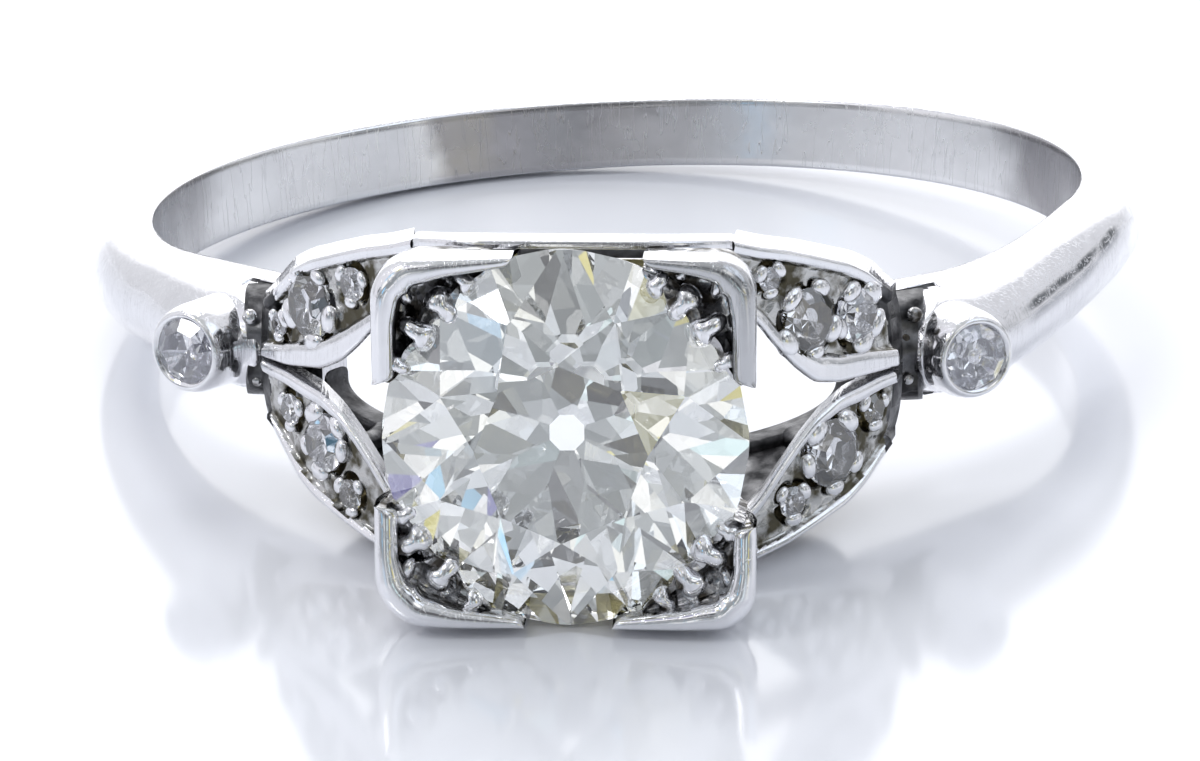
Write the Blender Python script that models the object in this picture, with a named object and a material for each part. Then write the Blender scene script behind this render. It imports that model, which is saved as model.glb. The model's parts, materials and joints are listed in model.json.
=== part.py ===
"""Diamond engagement ring in white metal: separate pieces, lying on its side as it rests on a table.

Head coordinates, in millimetres: x across the head, v along the finger axis, u outwards from the
finger's centre. A point (x, v, u) lies at X = x, Y = -u, Z = v, and one pose empty then leans the
ring onto the table.
"""

import math

import bmesh
import bpy
import numpy as np
from mathutils import Matrix, Vector

MM = 0.001
GAP = 0.02  # clearance between neighbouring pieces
SHARP_ANGLE = math.radians(40.0)

# Finger band
FINGER_R = 8.69
BAND_R = 9.87
BAND_EDGE = 0.12
BAND_CORE = 0.25
BAND_HALF_WIDTHS = (
    (30.0, 1.0),
    (38.0, 1.06),
    (48.0, 1.02),
    (62.0, 0.93),
    (90.0, 0.87),
    (135.0, 0.79),
    (180.0, 0.735),
)
BAND_OUTER_RS = (
    (30.0, 9.35),
    (33.0, 9.6),
    (37.0, 10.3),
    (41.0, 10.55),
    (46.0, 10.4),
    (56.0, 10.0),
    (70.0, 9.87),
)
BAND_END = 30.0  # degrees from the head direction
BAND_TWIST = math.radians(2.4)  # the band is sprung slightly out of true with the head
BAND_LIFT = 0.19
TWIST_START, TWIST_FULL = 42.0, 75.0
BAND_STATIONS = 84
DOME_POINTS = 9
DOME_SWING = math.radians(80.0)

# Collets: drums that stand on the ends of the band, each with a small diamond in its outer face
COLLET_XS, COLLET_U = {-1: -7.12, 1: 6.83}, 8.65
COLLET_TILT = math.radians(30.0)
COLLET_R, COLLET_FACE_R = 0.80, 0.74
COLLET_LENGTH = 1.75
COLLET_STONE_R = 0.60
COLLET_STONE_DROP = 0.10
COLLET_SIDES = 36

# Leaf shoulders: outlines as (x, v) and the curved top surface
LEAF_START, LEAF_TIPS = 2.745, {-1: 5.74, 1: 5.54}
LEAF_OUTER = (
    (2.745, 2.90),
    (3.15, 2.75),
    (3.65, 2.60),
    (4.1, 2.41),
    (4.65, 2.15),
    (5.05, 1.87),
    (5.5, 1.40),
    (5.8, 1.02),
)
LEAF_INNER_XS = (2.745, 3.12, 3.4, 3.75, 4.1, 4.5, 5.2, 5.8)
LEAF_INNERS = {
    "left_upper": (1.85, 1.60, 1.30, 0.85, 0.48, 0.22, 0.06, 0.03),
    "right_upper": (1.75, 1.42, 1.0, 0.52, 0.16, 0.05, 0.03, 0.03),
    "left_lower": (2.05, 1.72, 1.32, 0.85, 0.47, 0.20, 0.05, 0.03),
    "right_lower": (2.05, 1.72, 1.32, 0.85, 0.47, 0.20, 0.05, 0.03),
}
LEAF_U, LEAF_SLOPE, LEAF_CURVE = 11.9, 0.75, 0.14
LEAF_ORIGIN_X = 3.2
LEAF_DEPTHS = ((2.745, 0.85), (5.1, 0.85), (5.8, 0.45))
LEAF_RIM, LEAF_RIM_HEIGHT = 0.18, 0.10
LEAF_STATIONS = 22
STONE_SINK = 0.05
LEAVES = {
    "left_upper": (
        (-1, 1),
        (("large", 4.78, 1.25, 0.60), ("inner", 3.95, 1.85, 0.30), ("tip", 5.42, 0.72, 0.22)),
    ),
    "right_upper": (
        (1, 1),
        (("large", 4.05, 1.25, 0.58), ("tip", 4.88, 1.12, 0.48), ("inner", 3.40, 2.10, 0.22)),
    ),
    "left_lower": (
        (-1, -1),
        (("large", 4.55, 1.12, 0.52), ("tip", 5.22, 0.75, 0.28), ("inner", 4.06, 1.92, 0.28)),
    ),
    "right_lower": (
        (1, -1),
        (("large", 4.45, 1.20, 0.60), ("tip", 5.15, 0.62, 0.28), ("inner", 3.78, 1.90, 0.28)),
    ),
}

# Centre diamond: an old European cut
GIRDLE_U = 14.28
STONE_HALF_X, STONE_HALF_V = 3.066, 3.235
TABLE_SHARE = 0.47
CROWN_HEIGHT, PAVILION_DEPTH = 1.10, 2.48
GIRDLE_HALF = 0.035
CULET_SHARE = 0.095
STAR_SHARE = 0.47
LOWER_HALF_SHARE = 0.78
STONE_SIDES = 32

# Square head: four corner claws on a seat frame
HEAD_HALF = 3.19
CLAW_WALL = 0.40
CLAW_TOP, CLAW_FULL, CLAW_BOTTOM = 14.92, 14.2, 12.7
CLAW_BULGE = ((12.7, 2.72), (13.2, 2.82), (13.6, 2.99), (13.9, 3.12), (14.2, 3.19))
CLAW_EDGE = 0.06
CORNER_R_TOP, CORNER_R_BOTTOM = 0.5, 0.8
GRIP_REACH = 1.45
CORNER_STEPS = 6
CLAWS = {
    "upper_left": (-1, 1, 0.83, 1.0, CORNER_R_TOP),
    "upper_right": (1, 1, 1.33, 1.0, CORNER_R_TOP),
    "lower_left": (-1, -1, 0.70, 1.10, CORNER_R_BOTTOM),
    "lower_right": (1, -1, 0.78, 1.40, CORNER_R_BOTTOM),
}
SEAT_TOP, SEAT_BOTTOM = CLAW_BOTTOM - GAP, 12.0
SEAT_HALF, SEAT_HOLE, SEAT_TAPER = 2.72, 1.64, 0.25

# Openwork below the head
STRAP_END = 2.72
STRAP_V, STRAP_V_DROP = 3.12, 0.20
STRAP_U, STRAP_U_DROP = 13.15, 0.95
STRAP_THICK, STRAP_HEIGHT = 0.18, 0.60
RAIL_END = 29.87
RAIL_V, RAIL_V_RISE = 0.72, 1.18
RAIL_HALF_WIDTH, RAIL_R = 0.22, 9.35
POST_HALF = 0.2
HEAD_POST_TURN, HEAD_POST_X, HEAD_POST_V = 10.0, 2.1, 2.1
LEAF_POST_TURN, LEAF_POST_X, LEAF_POST_V = 23.0, 4.15, 1.3

GLASS = 2.417  # refractive index of diamond

for old in list(bpy.data.objects):
    bpy.data.objects.remove(old, do_unlink=True)


def make_material(name, color, roughness, metallic, transmission=0.0, ior=1.5):
    material = bpy.data.materials.new(name)
    material.use_nodes = True
    shader = material.node_tree.nodes["Principled BSDF"]
    shader.inputs["Base Color"].default_value = (*color, 1.0)
    shader.inputs["Roughness"].default_value = roughness
    shader.inputs["Metallic"].default_value = metallic
    shader.inputs["Transmission Weight"].default_value = transmission
    shader.inputs["IOR"].default_value = ior
    return material


METAL = make_material("polished_white_metal", (0.80, 0.80, 0.82), 0.12, 1.0)
OLD_METAL = make_material("oxidised_white_metal", (0.42, 0.42, 0.43), 0.34, 1.0)
DIAMOND = make_material("diamond", (0.98, 0.98, 0.97), 0.0, 0.0, 1.0, GLASS)
SMALL_DIAMOND = make_material("small_diamond", (0.93, 0.94, 0.97), 0.0, 0.0, 1.0, GLASS)


def place(x, v, u):
    return Vector((x, -u, v)) * MM


def add_solid(name, vertices, faces, material):
    mesh = bpy.data.meshes.new(name)
    mesh.from_pydata([tuple(p) for p in vertices], [], faces)
    work = bmesh.new()
    work.from_mesh(mesh)
    bmesh.ops.recalc_face_normals(work, faces=work.faces)
    work.to_mesh(mesh)
    work.free()
    mesh.materials.append(material)
    mesh.shade_smooth()
    mesh.set_sharp_from_angle(angle=SHARP_ANGLE)
    made = bpy.data.objects.new(name, mesh)
    bpy.context.scene.collection.objects.link(made)
    return made


def loft(rings):
    """Skins a list of point rings with quads and closes both ends."""
    count = len(rings[0])
    vertices = [p for ring in rings for p in ring]
    faces = []
    for i in range(len(rings) - 1):
        for j in range(count):
            a, b = i * count + j, i * count + (j + 1) % count
            faces.append((a, b, b + count, a + count))
    faces.append(tuple(range(count)))
    faces.append(tuple(range(len(vertices) - count, len(vertices))))
    return vertices, faces


def cut_away(target, cutter):
    cutter.hide_render = True
    cutter.display_type = "WIRE"
    cut = target.modifiers.new("cut_" + cutter.name, "BOOLEAN")
    cut.operation = "DIFFERENCE"
    cut.solver = "EXACT"
    cut.object = cutter


def turned(name, profile, frame, sides, material):
    """A closed turned solid: profile holds (radius, height) pairs, with radius 0 at both ends."""
    vertices, faces = [], []
    rings = []
    for radius, height in profile:
        ring = []
        steps = 1 if radius == 0 else sides
        for k in range(steps):
            turn = 2 * math.pi * k / sides
            ring.append(len(vertices))
            vertices.append(frame @ (Vector((radius * math.cos(turn), radius * math.sin(turn), height)) * MM))
        rings.append(ring)
    for low, high in zip(rings, rings[1:]):
        for k in range(sides):
            n = (k + 1) % sides
            corners = [low[k % len(low)], low[n % len(low)], high[n % len(high)], high[k % len(high)]]
            faces.append(tuple(dict.fromkeys(corners)))
    return add_solid(name, vertices, faces, material)


def cut_gem(name, frame, sides, half_girdle, planes, scale, material):
    """A diamond ground from a round blank of unit radius: planes hold (point, outward normal) pairs."""
    work = bmesh.new()
    top = [work.verts.new((math.cos(a), math.sin(a), 1.0)) for a in np.arange(sides) * 2 * math.pi / sides]
    low = [work.verts.new((p.co.x, p.co.y, -1.0)) for p in top]
    work.faces.new(top)
    work.faces.new(low[::-1])
    for k in range(sides):
        n = (k + 1) % sides
        work.faces.new((low[k], low[n], top[n], top[k]))
    for point, normal in planes:
        cut = bmesh.ops.bisect_plane(
            work,
            geom=work.verts[:] + work.edges[:] + work.faces[:],
            dist=1e-6,
            plane_co=point,
            plane_no=normal,
            clear_outer=True,
        )
        rim = [e for e in cut["geom_cut"] if isinstance(e, bmesh.types.BMEdge)]
        if rim:
            bmesh.ops.edgeloop_fill(work, edges=rim)
    bmesh.ops.remove_doubles(work, verts=work.verts, dist=1e-5)
    bmesh.ops.recalc_face_normals(work, faces=work.faces)
    shape = frame @ Matrix.Diagonal((*(MM * s for s in scale), 1.0))
    bmesh.ops.transform(work, matrix=shape, verts=work.verts)
    mesh = bpy.data.meshes.new(name)
    work.to_mesh(mesh)
    work.free()
    mesh.materials.append(material)
    made = bpy.data.objects.new(name, mesh)
    bpy.context.scene.collection.objects.link(made)
    return made


def ring_point(turn, radius, height):
    return Vector((radius * math.cos(turn), radius * math.sin(turn), height))


def plane_through(a, b, c, outward):
    normal = (b - a).cross(c - a).normalized()
    return (a, normal if normal.dot(outward) > 0 else -normal)


def old_european_planes(crown, pavilion, girdle):
    """Table, 8 kites, 8 stars, 16 upper halves, 8 mains, 16 lower halves and the open culet."""
    planes = [(Vector((0, 0, crown)), Vector((0, 0, 1))), (Vector((0, 0, -pavilion)), Vector((0, 0, -1)))]
    step = math.pi / 8
    star_r = TABLE_SHARE + (1 - TABLE_SHARE) * STAR_SHARE
    star_fall = (star_r * math.cos(step) - TABLE_SHARE) / (1 - TABLE_SHARE)
    star_h = crown + (girdle - crown) * star_fall
    low_r = 1 - (1 - CULET_SHARE) * LOWER_HALF_SHARE
    low_fall = (1 - low_r * math.cos(step)) / (1 - CULET_SHARE)
    low_h = -girdle + (girdle - pavilion) * low_fall
    for k in range(8):
        turn = 2 * step * k
        up, down = Vector((0, 0, 1)), Vector((0, 0, -1))
        table = ring_point(turn, TABLE_SHARE, crown)
        edge = ring_point(turn, 1, girdle)
        side = Vector((-math.sin(turn), math.cos(turn), 0))
        planes.append(plane_through(table, edge, table + side, up))
        star = ring_point(turn + step, star_r, star_h)
        next_table = ring_point(turn + 2 * step, TABLE_SHARE, crown)
        planes.append(plane_through(table, star, next_table, up))
        low_edge = ring_point(turn, 1, -girdle)
        culet = ring_point(turn, CULET_SHARE, -pavilion)
        planes.append(plane_through(culet, low_edge, culet + side, down))
        for way in (1, -1):
            star = ring_point(turn + way * step, star_r, star_h)
            mid_edge = ring_point(turn + way * step, 1, girdle)
            planes.append(plane_through(star, edge, mid_edge, up))
            low_star = ring_point(turn + way * step, low_r, low_h)
            low_mid = ring_point(turn + way * step, 1, -girdle)
            planes.append(plane_through(low_star, low_edge, low_mid, down))
    return planes


def single_cut_planes(table, crown, pavilion, girdle):
    """Table, 8 crown facets and 8 pavilion facets."""
    planes = [(Vector((0, 0, crown)), Vector((0, 0, 1)))]
    for k in range(8):
        turn = math.pi / 4 * k
        out = ring_point(turn, 1, 0)
        side = Vector((-math.sin(turn), math.cos(turn), 0))
        edge, low_edge = out + Vector((0, 0, girdle)), out - Vector((0, 0, girdle))
        top = ring_point(turn, table, crown)
        planes.append(plane_through(top, edge, top + side, Vector((0, 0, 1))))
        tip = Vector((0, 0, -pavilion))
        planes.append(plane_through(tip, low_edge, tip + side, Vector((0, 0, -1))))
    return planes


def small_diamond(name, radius, frame):
    planes = single_cut_planes(0.62, 0.34, 0.80, 0.05)
    return cut_gem(name, frame, 24, 0.05, planes, (radius, radius, radius), SMALL_DIAMOND)


def frame_at(origin, up, across):
    """A placement with its Z along up and its X as near across as it can be."""
    z = up.normalized()
    y = z.cross(across).normalized()
    x = y.cross(z)
    turn = Matrix((x, y, z)).transposed().to_4x4()
    return Matrix.Translation(origin) @ turn


def lookup(pairs, at):
    return float(np.interp(at, [p[0] for p in pairs], [p[1] for p in pairs]))


def smooth_lookup(pairs, at):
    """Reads a table of pairs with rounded corners."""
    spread = 3.0
    return sum(lookup(pairs, at + spread * k) for k in (-1, 0, 1)) / 3


# ---- finger band ----


def band_shift(x, away):
    share = min(1.0, max(0.0, (away - TWIST_START) / (TWIST_FULL - TWIST_START)))
    ease = share * share * (3 - 2 * share)
    return ease * (BAND_LIFT + x * math.tan(BAND_TWIST))


def band_section(turn):
    away = min(turn, 360.0 - turn)
    half = smooth_lookup(BAND_HALF_WIDTHS, away)
    thick = smooth_lookup(BAND_OUTER_RS, away) - FINGER_R
    outline = [(0.0, half - BAND_EDGE)]
    for k in range(DOME_POINTS):
        swing = DOME_SWING * (1 - 2 * k / (DOME_POINTS - 1))
        rise = BAND_CORE + (thick - BAND_CORE) * math.cos(swing)
        outline.append((rise, half * math.sin(swing) / math.sin(DOME_SWING)))
    outline.append((0.0, -half + BAND_EDGE))
    angle = math.radians(turn)
    ring = []
    for rise, v in outline:
        radius = FINGER_R + rise
        x, u = radius * math.sin(angle), radius * math.cos(angle)
        ring.append(place(x, v + band_shift(x, away), u))
    return ring


turns = np.linspace(BAND_END, 360.0 - BAND_END, BAND_STATIONS)
shank = add_solid("shank", *loft([band_section(t) for t in turns]), METAL)

# ---- collets ----
for side_name, side in (("left", -1), ("right", 1)):
    axis = Vector((side * math.sin(COLLET_TILT), -math.cos(COLLET_TILT), 0))
    face = frame_at(place(COLLET_XS[side], 0, COLLET_U), axis, Vector((0, 0, 1)))
    drum = (
        (0, -COLLET_LENGTH),
        (COLLET_R, -COLLET_LENGTH),
        (COLLET_R, -0.8),
        (COLLET_FACE_R + 0.02, -0.2),
        (COLLET_FACE_R, -0.05),
        (COLLET_FACE_R - 0.05, 0),
        (COLLET_STONE_R + GAP, -0.03),
        (COLLET_STONE_R + GAP, -0.35),
        (0.3, -0.75),
        (0, -0.75),
    )
    turned(side_name + "_collet", drum, face, COLLET_SIDES, METAL)
    bore_end, bore_r = -COLLET_LENGTH - GAP, COLLET_R + GAP
    bore = ((0, bore_end), (bore_r, bore_end), (bore_r, 1.0), (0, 1.0))
    cut_away(shank, turned(side_name + "_collet_bore", bore, face, COLLET_SIDES, METAL))
    seat = face @ Matrix.Translation(Vector((0, 0, -COLLET_STONE_DROP * MM)))
    small_diamond(side_name + "_collet_diamond", COLLET_STONE_R, seat)

# ---- leaf shoulders with their small diamonds ----


def leaf_top(x):
    run = x - LEAF_ORIGIN_X
    return LEAF_U - LEAF_SLOPE * run - LEAF_CURVE * run * run


def leaf_angle(x):
    return math.atan(LEAF_SLOPE + 2 * LEAF_CURVE * (x - LEAF_ORIGIN_X))


def leaf_section(leaf_name, x, side, level):
    outer = lookup(LEAF_OUTER, x)
    inner = lookup(tuple(zip(LEAF_INNER_XS, LEAF_INNERS[leaf_name])), x)
    top = leaf_top(x)
    field = top - LEAF_RIM_HEIGHT
    bottom = top - lookup(LEAF_DEPTHS, x)
    outline = (
        (outer, bottom),
        (outer, top - 0.05),
        (outer - 0.05, top),
        (outer - LEAF_RIM + 0.04, top),
        (outer - LEAF_RIM, field),
        (inner + LEAF_RIM, field),
        (inner + LEAF_RIM - 0.04, top),
        (inner + 0.05, top),
        (inner, top - 0.05),
        (inner, bottom),
    )
    return [place(side * x, level * v, u) for v, u in outline]


for leaf_name, ((side, level), stones) in LEAVES.items():
    stations = np.linspace(LEAF_START, LEAF_TIPS[side], LEAF_STATIONS)
    sections = [leaf_section(leaf_name, x, side, level) for x in stations]
    leaf = add_solid(leaf_name + "_leaf", *loft(sections), METAL)
    for stone_name, x, v, radius in stones:
        tilt = leaf_angle(x)
        up = Vector((side * math.sin(tilt), -math.cos(tilt), 0))
        ground = place(side * x, level * v, leaf_top(x) - LEAF_RIM_HEIGHT)
        nest = frame_at(ground, up, Vector((0, 0, 1)))
        tag = f"{leaf_name}_{stone_name}_diamond"
        hole = ((0, -1.6), (radius + GAP, -1.6), (radius + GAP, 0.6), (0, 0.6))
        cut_away(leaf, turned(tag + "_hole", hole, nest, 20, METAL))
        small_diamond(tag, radius, nest @ Matrix.Translation(Vector((0, 0, -STONE_SINK * MM))))

# ---- centre diamond ----
mean_half = (STONE_HALF_X + STONE_HALF_V) / 2
gem_planes = old_european_planes(
    CROWN_HEIGHT / mean_half, PAVILION_DEPTH / mean_half, GIRDLE_HALF / mean_half
)
gem_frame = frame_at(place(0, 0, GIRDLE_U), Vector((0, -1, 0)), Vector((1, 0, 0)))
gem_scale = (STONE_HALF_X, STONE_HALF_V, mean_half)
cut_gem("centre_diamond", gem_frame, STONE_SIDES, GIRDLE_HALF, gem_planes, gem_scale, DIAMOND)
room = [s + GAP for s in gem_scale]

# ---- corner claws ----


def claw_outline(half, wall, arm_x, arm_v, corner, reach):
    points = [(half, arm_v)]
    for k in range(CORNER_STEPS + 1):
        swing = math.pi / 2 * k / CORNER_STEPS
        points.append((half - corner + corner * math.cos(swing), half - corner + corner * math.sin(swing)))
    inside = half - wall
    points += [(arm_x, half), (arm_x, inside), (reach, inside), (inside, reach), (inside, arm_v)]
    return points


for claw_name, (side, level, arm_x, arm_v, corner) in CLAWS.items():
    shapes = []
    for u, half in CLAW_BULGE:
        spread = max(0.0, min(1.0, (u - CLAW_BOTTOM) / (CLAW_FULL - CLAW_BOTTOM)))
        shapes.append((half, CLAW_WALL, u, 1.5 + (arm_x - 1.5) * spread, 1.5 + (arm_v - 1.5) * spread))
    shapes.append((HEAD_HALF, CLAW_WALL, CLAW_TOP - CLAW_EDGE, arm_x, arm_v))
    edge = CLAW_EDGE
    shapes.append((HEAD_HALF - edge, CLAW_WALL - edge, CLAW_TOP, arm_x + edge, arm_v + edge))
    rings = []
    for half, wall, u, reach_x, reach_v in shapes:
        reach = max(GRIP_REACH, reach_x + 0.1, reach_v + 0.1)
        flat = claw_outline(half, wall, reach_x, reach_v, corner, reach)
        rings.append([place(side * x, level * v, u) for x, v in flat])
    claw = add_solid(claw_name + "_claw", *loft(rings), METAL)
    cutter = cut_gem(claw_name + "_claw_seat", gem_frame, STONE_SIDES, GIRDLE_HALF, gem_planes, room, DIAMOND)
    cut_away(claw, cutter)

# ---- seat frame below the claws ----


def square_ring(half, hole, u):
    flat = [(1, 1), (-1, 1), (-1, -1), (1, -1)]
    return [place(half * a, half * b, u) for a, b in flat], [place(hole * a, hole * b, u) for a, b in flat]


low_out, low_in = square_ring(SEAT_HALF - SEAT_TAPER, SEAT_HOLE - SEAT_TAPER, SEAT_BOTTOM)
top_out, top_in = square_ring(SEAT_HALF, SEAT_HOLE, SEAT_TOP)
corners = low_out + top_out + top_in + low_in
walls = []
for k in range(4):
    n = (k + 1) % 4
    for level in range(4):
        a, b = 4 * level, 4 * ((level + 1) % 4)
        walls.append((a + k, a + n, b + n, b + k))
add_solid("head_seat_frame", corners, walls, METAL)

# ---- gallery straps above and below the head ----


def strap_section(x, level):
    share = (abs(x) / STRAP_END) ** 4
    v, u = STRAP_V - STRAP_V_DROP * share, STRAP_U - STRAP_U_DROP * share
    outline = (
        (v, u - STRAP_HEIGHT),
        (v, u - 0.04),
        (v - 0.04, u),
        (v - STRAP_THICK, u),
        (v - STRAP_THICK, u - STRAP_HEIGHT),
    )
    return [place(x, level * a, b) for a, b in outline]


# ---- base rails at the finger ----


def rail_middle(turn):
    return RAIL_V + RAIL_V_RISE * max(0.0, math.cos(math.pi / 2 * turn / RAIL_END)) ** 0.35


def rail_section(turn, level):
    angle = math.radians(turn)
    middle = rail_middle(turn)
    ring = []
    for radius, v in (
        (FINGER_R, -RAIL_HALF_WIDTH + 0.06),
        (FINGER_R + 0.06, -RAIL_HALF_WIDTH),
        (RAIL_R, -RAIL_HALF_WIDTH),
        (RAIL_R, RAIL_HALF_WIDTH),
        (FINGER_R + 0.06, RAIL_HALF_WIDTH),
        (FINGER_R, RAIL_HALF_WIDTH - 0.06),
    ):
        ring.append(place(radius * math.sin(angle), level * (middle + v), radius * math.cos(angle)))
    return ring


def post(name, foot_turn, side, level, x, v, u, slope):
    """A square strut from a base rail up to (x, v, u), where the piece above it falls away by slope."""
    angle = math.radians(foot_turn)
    middle = rail_middle(foot_turn)
    foot_r = RAIL_R + GAP
    foot, head = [], []
    for a, b in ((-1, -1), (1, -1), (1, 1), (-1, 1)):
        swing = angle + a * POST_HALF / foot_r
        across = middle + b * POST_HALF
        foot.append(place(side * foot_r * math.sin(swing), level * across, foot_r * math.cos(swing)))
        head.append(place(side * (x + a * POST_HALF), level * (v + b * POST_HALF), u - a * POST_HALF * slope))
    add_solid(name, *loft([foot, head]), OLD_METAL)


strap_stations = np.linspace(-STRAP_END, STRAP_END, 25)
rail_stations = [RAIL_END * math.sin(math.pi / 2 * k / 18) for k in range(-18, 19)]
for level_name, level in (("upper", 1), ("lower", -1)):
    strap = loft([strap_section(x, level) for x in strap_stations])
    add_solid(level_name + "_gallery_strap", *strap, METAL)
    rail = loft([rail_section(t, level) for t in rail_stations])
    add_solid(level_name + "_base_rail", *rail, OLD_METAL)
    for side_name, side in (("left", -1), ("right", 1)):
        tag = f"{side_name}_{level_name}"
        under = SEAT_BOTTOM - GAP
        post(tag + "_head_post", HEAD_POST_TURN, side, level, HEAD_POST_X, HEAD_POST_V, under, 0.0)
        under = leaf_top(LEAF_POST_X) - lookup(LEAF_DEPTHS, LEAF_POST_X) - 2 * GAP
        slope = math.tan(leaf_angle(LEAF_POST_X))
        post(tag + "_leaf_post", LEAF_POST_TURN, side, level, LEAF_POST_X, LEAF_POST_V, under, slope)

# ---- resting pose: the lower strap or claws and the back of the band touch the table ----


def world_points(obj):
    return np.array([tuple(p.co) for p in obj.data.vertices])


pieces = [o for o in bpy.data.objects if o.type == "MESH" and not o.hide_render]
band_points = world_points(shank)
head_points = np.vstack([world_points(o) for o in pieces if o is not shank])


def lowest(points, lean):
    return float((points[:, 2] * math.cos(lean) - points[:, 1] * math.sin(lean)).min())


flat, steep = 0.0, math.radians(20.0)
for _ in range(60):
    lean = (flat + steep) / 2
    if lowest(head_points, lean) < lowest(band_points, lean):
        flat = lean
    else:
        steep = lean
pose = bpy.data.objects.new("resting_pose", None)
bpy.context.scene.collection.objects.link(pose)
turned_points = np.vstack([band_points, head_points])
depth = turned_points[:, 1] * math.cos(lean) + turned_points[:, 2] * math.sin(lean)
pose.rotation_euler = (-lean, 0, 0)
lift = -min(lowest(band_points, lean), lowest(head_points, lean))
pose.location = (0, -(depth.min() + depth.max()) / 2, lift)
for made in [o for o in bpy.data.objects if o.type == "MESH"]:
    made.parent = pose
bpy.context.view_layer.update()
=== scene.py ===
"""A diamond engagement ring lying on its side on a pale glossy table, seen from above its head."""

import json
import math

import bmesh
import bpy
import numpy as np
from mathutils import Matrix, Vector


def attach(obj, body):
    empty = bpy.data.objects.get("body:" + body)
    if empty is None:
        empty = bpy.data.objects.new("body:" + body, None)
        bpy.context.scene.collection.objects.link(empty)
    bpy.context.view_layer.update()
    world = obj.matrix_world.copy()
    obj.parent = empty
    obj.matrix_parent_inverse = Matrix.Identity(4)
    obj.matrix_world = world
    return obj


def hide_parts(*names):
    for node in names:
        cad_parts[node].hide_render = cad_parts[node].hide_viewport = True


MM = 0.001
UP, DOWN = Vector((0, 0, 1)), Vector((0, 0, -1))
SIDES, LEVELS = {"left": -1, "right": 1}, {"upper": 1, "lower": -1}
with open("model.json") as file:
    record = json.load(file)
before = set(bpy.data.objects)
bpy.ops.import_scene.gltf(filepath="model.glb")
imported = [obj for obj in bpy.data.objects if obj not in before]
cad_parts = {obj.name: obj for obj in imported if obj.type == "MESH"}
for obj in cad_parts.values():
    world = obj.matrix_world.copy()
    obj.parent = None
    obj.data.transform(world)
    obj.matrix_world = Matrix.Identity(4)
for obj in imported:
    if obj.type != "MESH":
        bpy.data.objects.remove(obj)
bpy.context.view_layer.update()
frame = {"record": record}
chance = np.random.default_rng(11)

# ---- sizes in mm: x across the head, v along the finger axis, u outwards from the finger's centre ----
FINGER_R = 8.69
BAND_EDGE, BAND_CORE = 0.12, 0.25
# by the turn in degrees away from the middle of the head
BAND_HALF_WIDTHS = ((30, 1.0), (38, 1.06), (48, 1.02), (62, 0.93), (90, 0.87), (135, 0.79), (180, 0.735))
BAND_OUTER_RS = ((30, 10.3), (36, 10.45), (39, 10.58), (42, 10.55), (46, 10.4), (56, 10.0), (70, 9.87))
TONGUE_CENTRE, TONGUE_REACH, TONGUE_HALF = 39.8, 6.6, 1.0
GROOVE_RISE = 0.75
BAND_END, BAND_FINE_UNTIL = 30.0, 50.0
BAND_TWIST, BAND_LIFT = math.radians(2.4), 0.19
TWIST_START, TWIST_FULL = 42.0, 75.0
DOME_SWING = math.radians(80.0)

COLLET_XS, COLLET_U = {"left": -7.12, "right": 6.83}, 8.65
COLLET_TILT = math.radians(30.0)
COLLET_R, COLLET_ROUNDING, COLLET_LENGTH = 0.80, 0.15, 1.75
COLLET_STONE_R, COLLET_STONE_DROP = 0.60, 0.10

LEAF_START, LEAF_TIPS = 2.745, {-1: 5.74, 1: 5.52}
LEAF_OUTER_XS = (2.745, 3.15, 3.65, 4.1, 4.65, 5.05, 5.5, 5.8)
LEAF_OUTER = tuple(zip(LEAF_OUTER_XS, (2.90, 2.75, 2.60, 2.41, 2.15, 1.87, 1.40, 1.02)))
LEAF_INNER_XS = (2.745, 3.12, 3.4, 3.75, 4.1, 4.5, 5.2, 5.8)
LEAF_INNERS = {
    "left_upper": (1.85, 1.60, 1.30, 0.85, 0.48, 0.22, 0.06, 0.03),
    "right_upper": (1.75, 1.42, 1.0, 0.52, 0.16, 0.05, 0.03, 0.03),
    "left_lower": (2.05, 1.72, 1.32, 0.85, 0.47, 0.20, 0.05, 0.03),
    "right_lower": (2.05, 1.72, 1.32, 0.85, 0.47, 0.20, 0.05, 0.03),
}
TIP_ROUNDING, LEAF_STONE_DROP = 0.12, 0.13
LEAF_U, LEAF_SLOPE, LEAF_CURVE, LEAF_ORIGIN_X = 11.9, 0.75, 0.14, 3.2
LEAF_DEPTHS = ((2.745, 0.85), (5.1, 0.85), (5.8, 0.45))
LEAF_FIELD, LEAF_LIP, RIM_DROP = 0.15, 0.09, 0.03
BIG_STONE_R = 0.4
OUTER_RIMS = {1: 0.20, -1: 0.13}
INNER_RIMS = {
    1: ((2.7, 0.19), (3.5, 0.20), (3.9, 0.34), (4.3, 0.44), (5.0, 0.40), (5.8, 0.22)),
    -1: ((2.7, 0.17), (3.6, 0.17), (4.2, 0.20), (4.8, 0.26), (5.8, 0.18)),
}
# each leaf's stones: name, x, v and radius
LEAVES = {
    ("left", "upper"): (("large", 4.78, 1.25, 0.60), ("inner", 3.95, 1.85, 0.30), ("tip", 5.42, 0.72, 0.22)),
    ("right", "upper"): (("large", 4.05, 1.25, 0.58), ("tip", 4.88, 1.12, 0.48), ("inner", 3.40, 2.10, 0.22)),
    ("left", "lower"): (("large", 4.55, 1.12, 0.52), ("tip", 5.22, 0.75, 0.28), ("inner", 4.06, 1.92, 0.28)),
    ("right", "lower"): (("large", 4.45, 1.20, 0.60), ("tip", 5.15, 0.62, 0.28), ("inner", 3.78, 1.90, 0.28)),
}
GROOVE_REACH, GROOVE_FLOOR, GROOVE_SIDE, GROOVE_TOP = (-0.45, 0.34), 7.7, 0.95, 1.0
# beads in the groove: v, distance from the leaf's tip, radius
GROOVE_BEADS, GROOVE_BEAD_U = ((0.66, 0.20, 0.15), (0.24, 0.05, 0.08), (-0.50, 0.10, 0.10)), 8.50

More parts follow.
